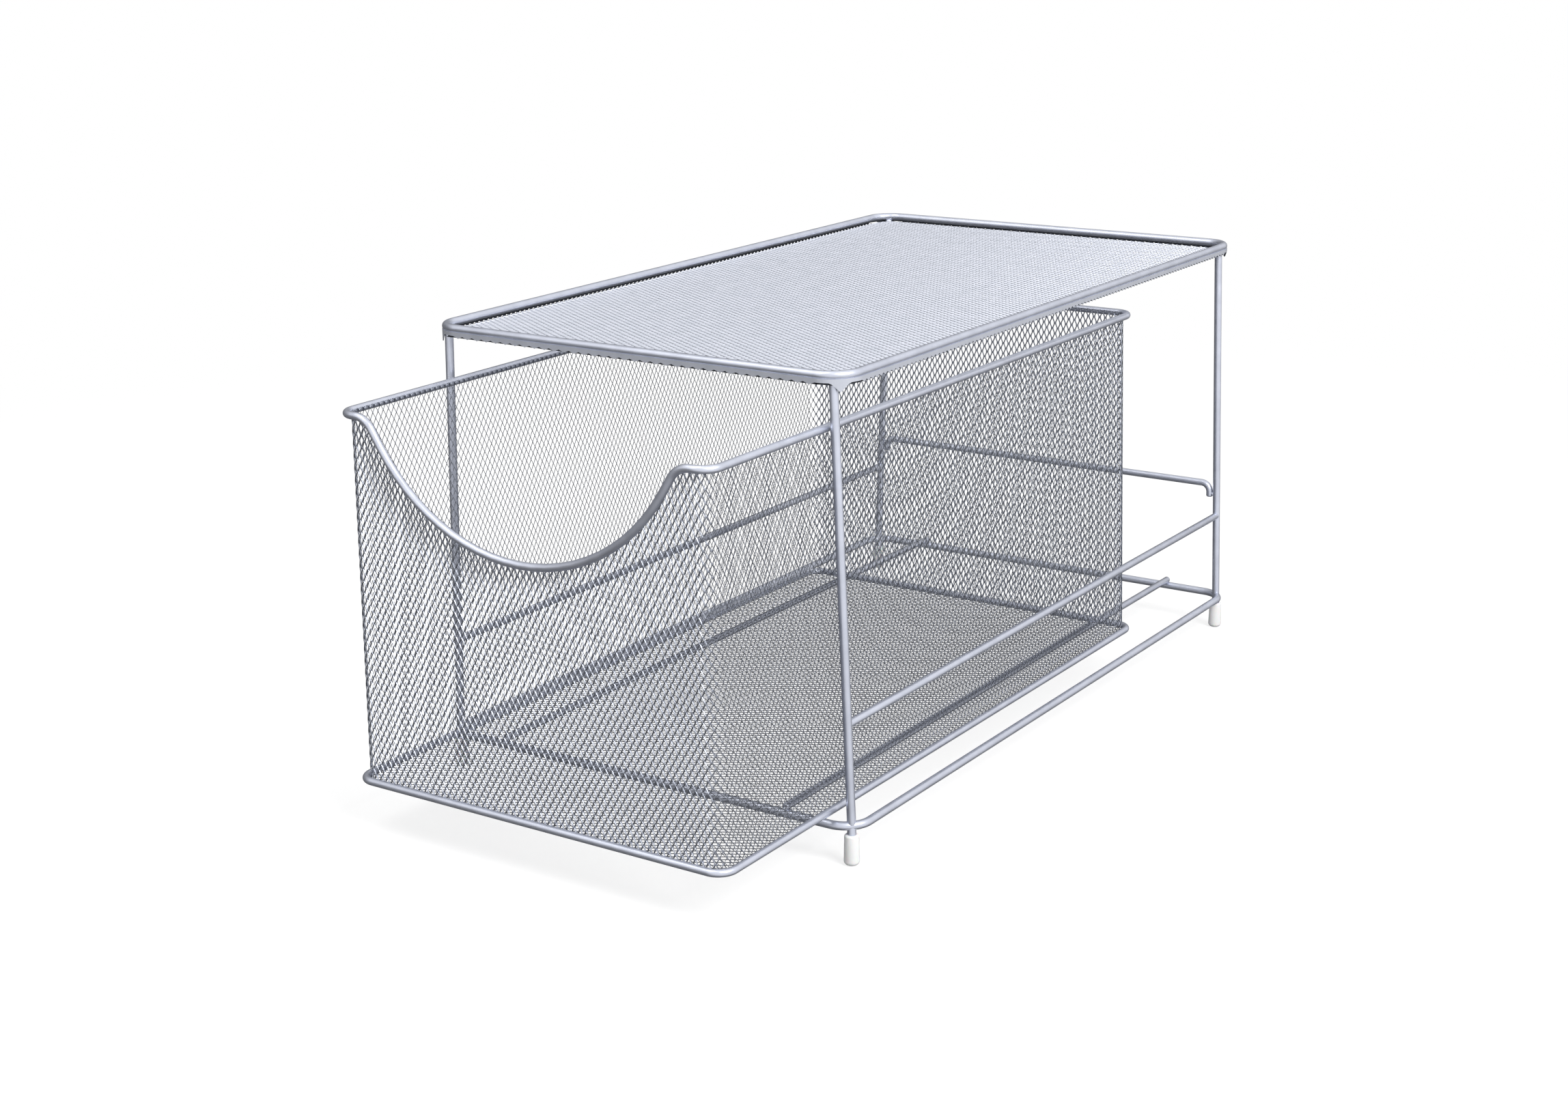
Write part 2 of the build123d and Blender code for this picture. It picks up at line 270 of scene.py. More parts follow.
@dataclass(frozen=True)
class ExpandedCell:
    """One opening of expanded metal with its share of the strands round it."""

    across: float = 3.76 * MM
    along: float = 6.25 * MM
    open_across_share: float = 0.62
    open_along_share: float = 0.85
    straight_share: float = 0.20
    half_thickness: float = 0.22 * MM
    twist: float = 0.34 * MM

    def build(self, lean: Lean) -> Object:
        """Build the cell: a rhomb with a pointed oval opening, its strands twisted as slit metal is.

        Args:
            lean: Which way the strands are turned.

        Returns:
            An object whose ridges meet those of its neighbours.
        """
        east, north = self.across / 2, self.along / 2
        turn = -self.twist * lean.value
        wide = east * self.open_across_share
        tall = north * self.open_along_share
        straight = north * self.straight_share
        rhomb = [(east, 0), (0, north), (-east, 0), (0, -north)]
        opening = [
            (wide, -straight, turn), (wide, straight, turn), (0, tall, 0),
            (-wide, straight, -turn), (-wide, -straight, -turn), (0, -tall, 0),
        ]
        points = [(x, y, self.half_thickness) for x, y in rhomb]
        points += [(x, y, -self.half_thickness) for x, y in rhomb]
        points += opening
        e, n, w, s = 0, 1, 2, 3
        se, ne, top, nw, sw, low = range(8, 14)
        upper = [
            (e, n, ne), (n, top, ne), (e, ne, se), (s, e, se), (s, se, low),
            (n, w, nw), (n, nw, top), (w, sw, nw), (w, s, sw), (s, low, sw),
        ]
        lower = [tuple(p + 4 if p < 4 else p for p in reversed(face)) for face in upper]
        mesh = bpy.data.meshes.new("expanded cell")
        mesh.from_pydata(points, [], upper + lower)
        return bpy.data.objects.new("expanded cell", mesh)


class MeshTree:
    """Geometry Nodes tree with named inputs that is run on a mesh."""

    def __init__(self, name: str, kinds: dict[str, str]) -> None:
        """Make the tree with its inputs and one geometry output.

        Args:
            name: The tree's name.
            kinds: The kind of each input, by its name.
        """
        self.tree = bpy.data.node_groups.new(name, "GeometryNodeTree")
        sockets = self.tree.interface
        sockets.new_socket("Shape", in_out="OUTPUT", socket_type="NodeSocketGeometry")
        self.inputs = {
            label: sockets.new_socket(label, in_out="INPUT", socket_type=f"NodeSocket{kind}").identifier
            for label, kind in kinds.items()
        }
        self.given = self.tree.nodes.new("NodeGroupInput").outputs

    def run(self, mesh: Mesh, values: dict) -> Mesh:
        """Run the tree.

        Args:
            mesh: The mesh that it starts from.
            values: The inputs' values, by their names.

        Returns:
            What comes out, as a mesh of its own.
        """
        holder = add_object(self.tree.name, mesh)
        modifier = holder.modifiers.new(self.tree.name, "NODES")
        modifier.node_group = self.tree
        for label, value in values.items():
            modifier[self.inputs[label]] = value
        depsgraph = bpy.context.evaluated_depsgraph_get()
        made = bpy.data.meshes.new_from_object(holder.evaluated_get(depsgraph))
        bpy.data.objects.remove(holder)
        return made


class ExpandedSheet(MeshTree):
    """Tree that fills a flat rectangle with staggered cells of expanded metal."""

    wave_length = 90 * MM

    def __init__(self, cell: ExpandedCell) -> None:
        """Build the tree and the cell that it repeats.

        Args:
            cell: The sizes of one opening.
        """
        kinds = {"Cell": "Object", "Columns": "Int", "Rows": "Int", "Across": "Float", "Along": "Float"}
        super().__init__("Expanded sheet", kinds | {"Wave height": "Float", "Wave length": "Float"})
        self.cell = cell
        self.cell_objects = {lean: cell.build(lean) for lean in Lean}
        self._fill()

    def _fill(self) -> None:
        """Lay out the nodes: two staggered grids, the cells on them and a gentle wave."""
        tree, given = self.tree, self.given
        joined = add_node(tree, "GeometryNodeJoinGeometry")
        for more in (1.0, 0.0):
            counts, sizes = [], []
            for count, pitch in (("Columns", "Across"), ("Rows", "Along")):
                counts.append(add_math(tree, "ADD", given[count], more))
                gaps = add_math(tree, "SUBTRACT", counts[-1], 1.0)
                sizes.append(add_math(tree, "MULTIPLY", gaps, given[pitch]))
            inputs = {f"i{number}": value for number, value in enumerate(sizes + counts)}
            grid = add_node(tree, "GeometryNodeMeshGrid", **inputs)
            tree.links.new(grid.outputs["Mesh"], joined.inputs["Geometry"])
        middle = [
            add_math(tree, "MULTIPLY", given[count], add_math(tree, "MULTIPLY", given[pitch], 0.5))
            for count, pitch in (("Columns", "Across"), ("Rows", "Along"))
        ]
        centre = add_node(tree, "ShaderNodeCombineXYZ", X=middle[0], Y=middle[1]).outputs[0]
        moved = add_node(tree, "GeometryNodeTransform", Geometry=joined.outputs[0], Translation=centre)
        cell = add_node(tree, "GeometryNodeObjectInfo", Object=given["Cell"]).outputs["Geometry"]
        placed = add_node(tree, "GeometryNodeInstanceOnPoints", Points=moved.outputs[0], Instance=cell)
        real = add_node(tree, "GeometryNodeRealizeInstances", Geometry=placed.outputs[0])
        scale = add_math(tree, "DIVIDE", 1.0, given["Wave length"])
        noise = add_node(tree, "ShaderNodeTexNoise", Scale=scale, Detail=1.0).outputs["Fac"]
        lift = add_math(tree, "MULTIPLY", add_math(tree, "SUBTRACT", noise, 0.5), given["Wave height"])
        wave = add_node(tree, "ShaderNodeCombineXYZ", Z=lift).outputs[0]
        waved = add_node(tree, "GeometryNodeSetPosition", Geometry=real.outputs[0], Offset=wave)
        add_node(tree, "NodeGroupOutput", Shape=waved.outputs[0])

    def flat(self, width: float, height: float, lean: Lean, wave: float = 0.0) -> Mesh:
        """Fill a rectangle from the origin with cells.

        Args:
            width: Size along X, across the openings.
            height: Size along Y, along the openings.
            lean: Which way the strands are turned.
            wave: How far the sheet swells and dips in all.

        Returns:
            A mesh of whole cells that covers the rectangle.
        """
        across, along = self.cell.across, self.cell.along
        values = {
            "Cell": self.cell_objects[lean], "Wave height": wave, "Wave length": self.wave_length,
            "Columns": math.ceil(width / across), "Rows": math.ceil(height / along),
            "Across": across, "Along": along,
        }
        return self.run(bpy.data.meshes.new("sheet"), values)


def laid_across(
    flat: np.ndarray, half: Pair, bend: float, inset: float = 0.0
) -> tuple[np.ndarray, np.ndarray, np.ndarray]:
    """Turn a flat sheet so that its openings lie across, and pull what lies outside onto its outline.

    Args:
        flat: Points of the sheet, one a row.
        half: Half the width and half the depth of the rounded rectangle that it fills.
        bend: The rectangle's corner radius.
        inset: How far the outline lies inside that rectangle.

    Returns:
        The points in plan round the middle, how far each rises, and which of them are on the outline.
    """
    plan = np.column_stack((flat[:, 1] - half[0], flat[:, 0] - half[1]))
    radius = bend - inset
    core = np.array([half[0] - inset, half[1] - inset]) - radius
    nearest = np.clip(plan, -core, core)
    away = plan - nearest
    far = np.linalg.norm(away, axis=1)
    edge = far > radius - TOUCH
    plan[edge] = nearest[edge] + away[edge] * (radius / far[edge])[:, None]
    return plan, np.where(edge, 0.0, flat[:, 2]), edge


def cut_sheet(mesh: Mesh, shape: Callable[[np.ndarray], Cut]) -> Mesh:
    """Cut and bend a flat sheet, and take off what lies past its edge.

    Args:
        mesh: The flat sheet, changed in place.
        shape: Maps flat points to points in space, and says which of them are cut back to the edge.

    Returns:
        The same mesh.
    """
    flat = np.empty(len(mesh.vertices) * 3)
    mesh.vertices.foreach_get("co", flat)
    points, edge = shape(flat.reshape(-1, 3))
    mesh.vertices.foreach_set("co", points.ravel())
    work = bmesh.new()
    work.from_mesh(mesh)
    work.verts.ensure_lookup_table()
    gone = [face for face in work.faces if all(edge[corner.index] for corner in face.verts)]
    bmesh.ops.delete(work, geom=gone, context="FACES")
    loose = [corner for corner in work.verts if not corner.link_faces]
    bmesh.ops.delete(work, geom=loose, context="VERTS")
    bmesh.ops.remove_doubles(work, verts=work.verts, dist=MERGED)
    bmesh.ops.dissolve_degenerate(work, edges=work.edges, dist=SPECK)
    work.to_mesh(mesh)
    work.free()
    mesh.update()
    return mesh


def closed_mesh(name: str, points: list, faces: list[tuple[int, ...]], smooth: bool = True) -> Mesh:
    """Make a mesh and turn all its faces outward.

    Args:
        name: The mesh's name.
        points: Its points.
        faces: Its faces, as numbers of points.
        smooth: Whether the light runs smoothly across them.

    Returns:
        The mesh.
    """
    mesh = bpy.data.meshes.new(name)
    mesh.from_pydata(points, [], faces)
    work = bmesh.new()
    work.from_mesh(mesh)
    bmesh.ops.recalc_face_normals(work, faces=work.faces)
    work.to_mesh(mesh)
    work.free()
    if smooth:
        mesh.shade_smooth()
    return mesh


def bent_line(corners: list[Vector], bends: list[float]) -> list[Vector]:
    """Round the corners of a line with arcs.

    Args:
        corners: The corners, and for an open line its two ends.
        bends: The radius of each arc, 0 for an end.

    Returns:
        Points along the line, a few degrees apart in each arc.
    """
    line = []
    for place, (corner, bend) in enumerate(zip(corners, bends)):
        if bend == 0:
            line.append(corner.copy())
            continue
        back = (corners[place - 1] - corner).normalized()
        ahead = (corners[(place + 1) % len(corners)] - corner).normalized()
        turn = math.pi - back.angle(ahead)
        middle = corner + (back + ahead).normalized() * bend / math.cos(turn / 2)
        start = corner + back * bend * math.tan(turn / 2) - middle
        across = (ahead * bend * math.tan(turn / 2) + corner - middle) - start * math.cos(turn)
        steps = max(FEWEST_STEPS, math.ceil(math.degrees(turn) / BEND_STEP))
        for step in range(steps + 1):
            angle = turn * step / steps
            line.append(middle + start * math.cos(angle) + across * (math.sin(angle) / math.sin(turn)))
    return line


def quarter_turn(steps: int) -> list[float]:
    """Angles from 0 to a right angle, in equal steps."""
    return [math.pi / 2 * step / steps for step in range(steps + 1)]


@dataclass(frozen=True)
class RoundWire:
    """Drawn steel wire, cut to length and bent: round all along, its cut ends slightly rounded off."""

    diameter: float
    sides: int = 24
    end_rounding: float = 0.5
    end_steps: int = 4
    least_end: float = 0.02

    def mesh(self, name: str, line: list[Vector], up: Vector, closed: bool) -> Mesh:
        """Sweep the wire along a line.

        Args:
            name: The mesh's name.
            line: The points of its middle line.
            up: A direction that the line never takes, from which the wire's sides are counted.
            closed: Whether the ends are welded into a ring.

        Returns:
            The wire's closed, smooth mesh.
        """
        radius = self.diameter / 2
        rings = []
        last = len(line) - 1
        for place, point in enumerate(line):
            behind = line[place - 1] if closed or place > 0 else point
            ahead = line[(place + 1) % len(line)] if closed or place < last else point
            along = ((ahead - point).normalized() + (point - behind).normalized()).normalized()
            rings.append((point, along, radius))
        if not closed:
            rings = self._end(rings[0], -1)[::-1] + rings[1:-1] + self._end(rings[-1], 1)
        points = []
        for point, along, size in rings:
            side = along.cross(up).normalized()
            top = side.cross(along)
            for step in range(self.sides):
                angle = 2 * math.pi * step / self.sides
                points.append(point + size * (side * math.cos(angle) + top * math.sin(angle)))
        faces = []
        for ring in range(len(rings) if closed else len(rings) - 1):
            low, high = ring * self.sides, (ring + 1) % len(rings) * self.sides
            for step in range(self.sides):
                after = (step + 1) % self.sides
                faces.append((low + step, high + step, high + after, low + after))
        if not closed:
            faces.append(tuple(range(self.sides)))
            faces.append(tuple(reversed(range(len(points) - self.sides, len(points)))))
        return closed_mesh(name, points, faces)

    def _end(self, ring: tuple[Vector, Vector, float], way: int) -> list[tuple[Vector, Vector, float]]:
        """Round off a cut end: rings from the full one to the last, which stays inside the length."""
        point, along, radius = ring
        depth = radius * self.end_rounding
        rings = []
        for angle in quarter_turn(self.end_steps):
            share = 1 - self.end_rounding + self.end_rounding * math.cos(angle)
            place = point + along * way * depth * (math.sin(angle) - 1)
            rings.append((place, along, radius * max(share, self.least_end)))
        return rings


def hand_in(name: str, mesh: Mesh, finish: Material, body: Body, slot: Slot, *nodes: str) -> Object:
    """Make a finished mesh a piece of the organizer.

    Args:
        name: The piece's name.
        mesh: The piece's mesh, already in place.
        finish: Its material.
        body: The body that it rides on.
        slot: The record's material slot; not used.
        nodes: The CAD nodes that it stands for.

    Returns:
        The piece's object.
    """
    mesh.materials.clear()
    mesh.materials.append(finish)
    piece = add_object(name, mesh)
    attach(piece, body.value)
    if nodes:
        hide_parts(*nodes)
    LOG.info("%s: %d faces", name, len(mesh.polygons))
    return piece


def ring_line(node: str, radius: float, bend: float) -> list[Vector]:
    """Middle line of a flat ring of wire, from the box of its CAD node.

    Args:
        node: The ring's node.
        radius: Half the wire's diameter.
        bend: The radius of the corner bends.

    Returns:
        Points along the line.
    """
    low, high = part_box(node)
    low, high = low + Vector((radius,) * 3), high - Vector((radius,) * 3)
    corners = [(high.x, low.y), (high.x, high.y), (low.x, high.y), (low.x, low.y)]
    return bent_line([Vector((x, y, low.z)) for x, y in corners], [bend] * 4)


@dataclass(frozen=True)
class WeldBead:
    """Spot of weld metal at a joint, coated over with the wires: a low, slightly uneven bump."""

    radius: float = 1.55 * MM
    flatness: float = 0.75
    unevenness: float = 0.22
    stretch: Pair = (0.85, 1.2)
    tilt: Triple = (0.5, 0.5, 6.28)
    lumps: float = 700.0
    seed: int = 7

    def spread(self, name: str, places: list[Vector], finish: Material, body: Body) -> None:
        """Set a bead on every weld with a Geometry Nodes tree.

        Args:
            name: The piece's name.
            places: The middles of the welds.
            finish: The finish of the wires.
            body: The body that the beads ride on.
        """
        beads = MeshTree("Weld beads", {"Welds": "Geometry"})
        tree = beads.tree
        ball = add_node(tree, "GeometryNodeMeshIcoSphere", Radius=self.radius, Subdivisions=3)
        kind, vector = "FunctionNodeRandomValue", {"data_type": "FLOAT_VECTOR"}
        turn = add_node(tree, kind, vector, i0=(0, 0, 0), i1=self.tilt, Seed=self.seed)
        low, high = self.stretch
        size = add_node(tree, kind, i2=low, i3=high, Seed=self.seed)
        scale = add_node(tree, "ShaderNodeCombineXYZ", X=size.outputs[1], Y=1.0, Z=self.flatness)
        placed = add_node(
            tree, "GeometryNodeInstanceOnPoints", Points=beads.given["Welds"],
            Instance=ball.outputs["Mesh"], Rotation=turn.outputs[0], Scale=scale.outputs[0],
        )
        real = add_node(tree, "GeometryNodeRealizeInstances", Geometry=placed.outputs[0])
        noise = add_node(tree, "ShaderNodeTexNoise", Scale=self.lumps, Detail=1.0).outputs["Fac"]
        swell = add_math(tree, "MULTIPLY", add_math(tree, "SUBTRACT", noise, 0.5), self.radius)
        swell = add_math(tree, "MULTIPLY", swell, self.unevenness)
        normal = add_node(tree, "GeometryNodeInputNormal").outputs[0]
        push = add_node(tree, "ShaderNodeVectorMath", {"operation": "SCALE"}, i0=normal, Scale=swell)
        uneven = add_node(tree, "GeometryNodeSetPosition", Geometry=real.outputs[0], Offset=push.outputs[0])
        smooth = add_node(tree, "GeometryNodeSetShadeSmooth", Geometry=uneven.outputs[0])
        add_node(tree, "NodeGroupOutput", Shape=smooth.outputs[0])
        mesh = bpy.data.meshes.new(name)
        mesh.from_pydata(places, [], [])
        hand_in(name, beads.run(mesh, {}), finish, body, Slot.WIRE)


@dataclass(frozen=True)
class FootCap:
    """Push-on cap of soft plastic: a slightly tapered tube, rounded at its sole and at its mouth."""

    half_width: float = 4.0 * MM
    neck: float = 3.7 * MM
    height: float = 16.0 * MM
    sole_bend: float = 2.2 * MM
    mouth_bend: float = 1.1 * MM
    bore: float = 2.3 * MM
    bore_depth: float = 3.0 * MM
    bore_lead: float = 0.2 * MM
    sides: int = 40
    sole_steps: int = 8
    mouth_steps: int = 5

    def profile(self) -> list[Pair]:
        """Outline of half a cut through the cap, from the middle of the sole to the bottom of the bore."""
        line = [(0.0, 0.0)]
        for angle in quarter_turn(self.sole_steps):
            reach = self.half_width - self.sole_bend + self.sole_bend * math.sin(angle)
            line.append((reach, self.sole_bend * (1 - math.cos(angle))))
        for angle in quarter_turn(self.mouth_steps):
            reach = self.neck - self.mouth_bend + self.mouth_bend * math.cos(angle)
            line.append((reach, self.height - self.mouth_bend + self.mouth_bend * math.sin(angle)))
        line += [(self.bore + self.bore_lead, self.height), (self.bore, self.height - self.bore_lead)]
        return line + [(self.bore, self.bore_depth), (0.0, self.bore_depth)]

    def mesh(self, name: str, x: float, y: float) -> Mesh:
        """Turn the outline round the cap's upright axis.

        Args:
            name: The mesh's name.
            x: Where the axis stands, to the right.
            y: Where the axis stands, to the rear.

        Returns:
            The closed, smooth mesh.
        """
        points, rings, faces = [], [], []
        for reach, height in self.profile():
            count = self.sides if reach else 1
            rings.append(range(len(points), len(points) + count))
            angles = [2 * math.pi * step / self.sides for step in range(count)]
            points += [(x + reach * math.cos(a), y + reach * math.sin(a), height) for a in angles]
        for low, high in zip(rings, rings[1:]):
            for step in range(self.sides):
                steps = (step, (step + 1) % self.sides)
                corners = [low[place % len(low)] for place in steps]
                corners += [high[place % len(high)] for place in reversed(steps)]
                faces.append(tuple(dict.fromkeys(corners)))
        return closed_mesh(name, points, faces)


@dataclass
class WireFrame:
    """The welded frame: two rings, four posts, the rails, the back bar, the runners and the feet."""

    metal: Material
    plastic: Material
    wire: RoundWire = RoundWire(4.48 * MM)
    rail: RoundWire = RoundWire(4.2 * MM)
    runner: RoundWire = RoundWire(4.0 * MM)
    bend: float = 14 * MM
    bar_bend: float = 5.5 * MM
    runner_set_back: float = 1.2 * MM
    weld_depth: float = 1.0 * MM
    head_depth: float = 1.2 * MM
    post_weld_inset: float = 0.8 * MM
    bar_weld_rise: float = 2.0 * MM
    cap: FootCap = FootCap()

    def build(self) -> list[Vector]:
        """Build the wires and caps in place of their CAD nodes.

        Returns:
            The middles of the welds.
        """
        for node in ("top_rim", "base_ring"):
            self._add(node, self.wire, ring_line(node, self.wire.diameter / 2, self.bend), UP, True)
        welds = []
        for side in ("left", "right"):
            welds += self._add_side(side)
            for end in ("front", "rear"):
                welds += self._add_corner(f"{end}_{side}")
        return welds + self._add_bar()

    def _add(self, node: str, wire: RoundWire, line: list[Vector], up: Vector, closed: bool = False) -> None:
        """Add one wire that stands for one CAD node."""
        mesh = wire.mesh(node, line, up, closed)
        hand_in(f"{node}_wire", mesh, self.metal, Body.FRAME, Slot.WIRE, node)

    def _add_side(self, side: str) -> list[Vector]:
        """Add the side rail and the runner of one side, and return their welds."""
        wires = {"side_rail": (self.rail, -self.weld_depth), "runner": (self.runner, self.runner_set_back)}
        lines = []
        for kind, (wire, inset) in wires.items():
            low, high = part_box(f"{kind}_{side}")
            middle = (low + high) / 2
            lines.append([Vector((middle.x, y, middle.z)) for y in (low.y + inset, high.y - inset)])
            self._add(f"{kind}_{side}", wire, lines[-1], UP)
        ends, stops = lines
        radius = self.wire.diameter / 2
        reach = self.runner_set_back - radius
        return ends + [stop + Vector((0, way * reach, -radius / 2)) for stop, way in zip(stops, (-1, 1))]

    def _add_corner(self, corner: str) -> list[Vector]:
        """Add a post, its foot's peg and cap, and return the welds of the post."""
        radius = self.wire.diameter / 2
        low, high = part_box(f"post_{corner}")
        peg_low, peg_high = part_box(f"foot_peg_{corner}")
        foot = (peg_low + peg_high) / 2
        top_x = low.x + radius if low.x + high.x > 0 else high.x - radius
        top_y = high.y - radius if corner.startswith("rear") else low.y + radius
        base = Vector((foot.x, foot.y, low.z - self.weld_depth))
        head = Vector((top_x, top_y, high.z + self.head_depth))
        self._add(f"post_{corner}", self.wire, [base, head], REAR)
        stub = [Vector((foot.x, foot.y, z)) for z in (peg_low.z, peg_high.z + self.weld_depth)]
        self._add(f"foot_peg_{corner}", self.wire, stub, REAR)
        node = f"foot_cap_{corner}"
        shell = self.cap.mesh(node, foot.x, foot.y)
        hand_in(f"{node}_shell", shell, self.plastic, Body.FRAME, Slot.CAP, node)
        return [base + UP * self.post_weld_inset, head - UP * self.post_weld_inset]

    def _add_bar(self) -> list[Vector]:
        """Add the back bar with its two legs, and return their welds to the rear posts."""
        radius = self.rail.diameter / 2
        low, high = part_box("back_bar")
        y = (low.y + high.y) / 2
        left, right, top = low.x + radius, high.x - radius, high.z - radius
        corners = [Vector((x, y, z)) for x, z in ((left, low.z), (left, top), (right, top), (right, low.z))]
        line = bent_line(corners, [0, self.bar_bend, self.bar_bend, 0])
        self._add("back_bar", self.rail, line, REAR)
        out, rise = Vector((radius, 0, 0)), UP * self.bar_weld_rise
        return [corners[0] - out + rise, corners[3] + out + rise]


@dataclass
class Shelf:
    """The expanded sheet under the top rim, its edge folded down as a notched lip with corner tabs, its
    border and the lip's inner face in painted shade.
    """

    bend: float = 16.25 * MM
    thickness: float = 0.7 * MM
    lip_thickness: float = 0.55 * MM
    lip_depth: float = 2.3 * MM
    lip_rise: float = 0.8 * MM
    notch: float = 1.2 * MM
    notch_pitch_across: float = 6.25 * MM
    notch_pitch_along: float = 3.76 * MM
    tab_depth: float = 5.5 * MM
    tab_half: float = 6.0 * MM
    groove_depth: float = 1.6 * MM
    groove_width: float = 5.0 * MM
    groove_slope: float = 2.0 * MM
    # Width of the sheet's border under the rim that gets the painted shade.
    painted_shade_width: float = 7.4 * MM
    wave: float = 0.35 * MM

    def build(self, sheet: ExpandedSheet, finish: Material, painted_shade: Material) -> None:
        """Build the sheet with its openings lying across the shelf, and the lip round it.

        Args:
            sheet: The tree that fills a flat rectangle.
            finish: The sheet's copy of the silver coat, painted paler as painted light from above.
            painted_shade: The painted shade on its border under the rim and on the lip's inner face.
        """
        low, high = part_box("shelf_mesh")
        middle = (low + high) / 2
        half = ((high.x - low.x) / 2, (high.y - low.y) / 2)
        centre = high.z - self.thickness / 2

        def lay(flat: np.ndarray) -> Cut:
            """Lay the sheet under the rim, its border sunk into a groove."""
            plan, rise, edge = laid_across(flat, half, self.bend, self.lip_thickness / 2)
            reach = self._from_edge(plan, half)
            share = np.clip((self.groove_width + self.groove_slope - reach) / self.groove_slope, 0, 1)
            drop = self.groove_depth * share * share * (3 - 2 * share)
            return np.column_stack((plan[:, 0] + middle.x, plan[:, 1] + middle.y, centre - drop - rise)), edge

        laid = cut_sheet(sheet.flat(2 * half[1], 2 * half[0], Lean.INWARD, self.wave), lay)
        made = hand_in("shelf_sheet", laid, finish, Body.FRAME, Slot.MESH, "shelf_mesh").data
        # Faces within painted_shade_width of the edge take the painted shade: a dark coat that stands in for
        # the shade under the rim.
        made.materials.append(painted_shade)
        centres = np.array([face.center[:2] for face in made.polygons]) - np.array(middle.xy)
        painted_shade_border = self._from_edge(centres, half) < self.painted_shade_width
        made.polygons.foreach_set("material_index", painted_shade_border.astype(np.int32))
        lip = self._lip(Vector((middle.x, middle.y, high.z)), half)
        strip = hand_in("shelf_lip", lip, finish, Body.FRAME, Slot.MESH, "shelf_mesh").data
        # The lip's inward-facing faces take the painted shade, which stands in for the shade under the rim.
        strip.materials.append(painted_shade)
        for face in strip.polygons:
            face.material_index = int(face.normal.xy.dot(face.center.xy - middle.xy) < 0)

    def _from_edge(self, plan: np.ndarray, half: Pair) -> np.ndarray:
        """Distance of points on the shelf from its edge, measured inward."""
        core = np.array(half) - self.bend
        return self.bend - np.linalg.norm(plan - np.clip(plan, -core, core), axis=1)

    def _lip(self, centre: Vector, half: Pair) -> Mesh:
        """Fold the edge down: a thin strip round the shelf, cut in teeth, with a tab over each post.

        Args:
            centre: The middle of the shelf, at its upper face.
            half: Half the shelf's width and depth.

        Returns:
            The strip's closed mesh.
        """
        corners = [(half[0], -half[1]), (half[0], half[1]), (-half[0], half[1]), (-half[0], -half[1])]
        outer = bent_line([Vector((x, y, 0)) for x, y in corners], [self.bend] * 4)
        stations = []
        for place, start in enumerate(outer):
            end = outer[(place + 1) % len(outer)]
            straight = (end - start).length > self.bend
            across = abs(end.x - start.x) > abs(end.y - start.y)
            pitch = self.notch_pitch_across if across else self.notch_pitch_along
            count = 2 * round((end - start).length / pitch) if straight else 1
            for step in range(count):
                stations.append((start.lerp(end, step / count), step % 2 == 1))
        points = []
        for place, (point, deep) in enumerate(stations):
            along = (stations[(place + 1) % len(stations)][0] - stations[place - 1][0]).normalized()
            inward = Vector((-along.y, along.x, 0)) * self.lip_thickness
            corner = [math.copysign(size - self.bend, value) for size, value in zip(half, point)]
            diagonal = Vector([math.copysign(1, value) for value in point.xy]).normalized()
            aside = abs(diagonal.cross(point.xy - Vector(corner)))
            tab = self.tab_depth * (1 - aside / self.tab_half)
            depth = max(self.lip_depth - (0 if deep else self.notch), tab)
            top = -self.lip_rise
            for foot, drop in ((point, top), (point, depth), (point + inward, depth), (point + inward, top)):
                points.append(centre + foot - UP * drop)
        faces = []
        for place in range(len(stations)):
            low, high = place * 4, (place + 1) % len(stations) * 4
            faces += [(low + s, low + (s + 1) % 4, high + (s + 1) % 4, high + s) for s in range(4)]
        return closed_mesh("shelf lip", points, faces, smooth=False)


